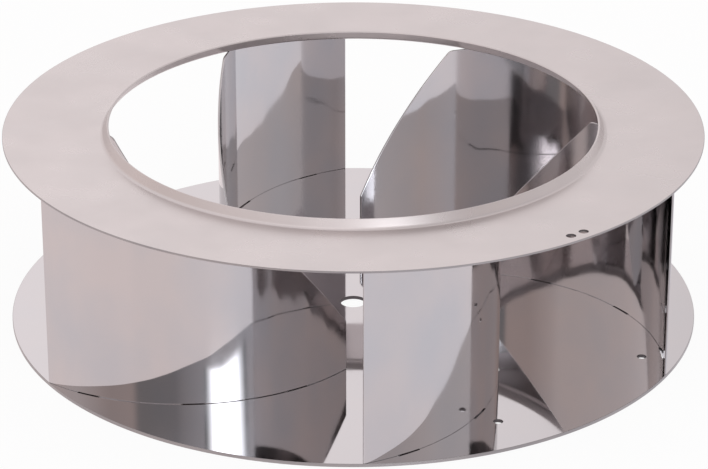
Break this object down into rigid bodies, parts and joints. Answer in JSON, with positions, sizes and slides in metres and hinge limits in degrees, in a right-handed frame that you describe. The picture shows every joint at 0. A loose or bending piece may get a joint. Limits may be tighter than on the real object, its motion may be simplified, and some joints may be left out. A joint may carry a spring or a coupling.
{
  "type": "centrifugal fan impeller",
  "caption": "Centrifugal fan wheel of polished stainless sheet: backward-curved blades between a flat backplate and an inlet ring with an upturned lip.",
  "frame": {"origin": "on the spin axis, at the underside of the backplate", "axes": "+Z along the spin axis from the backplate to the inlet; the picture looks along +Y and down"},
  "size_m": [0.3999, 0.4, 0.1182],
  "materials": {
    "polished_plate": "bright annealed stainless sheet, mirror-like with a slight waviness",
    "satin_ring": "satin stainless sheet with faint smudges",
    "polished_blade": "bright annealed stainless sheet rolled to an arc, mirror-like"
  },
  "bodies": {
    "root": {"backplate": "polished_plate", "inlet_ring": "satin_ring", "blade_1": "polished_blade", "blade_2": "polished_blade", "blade_3": "polished_blade", "blade_4": "polished_blade", "blade_5": "polished_blade", "blade_6": "polished_blade"}
  },
  "joints": []
}
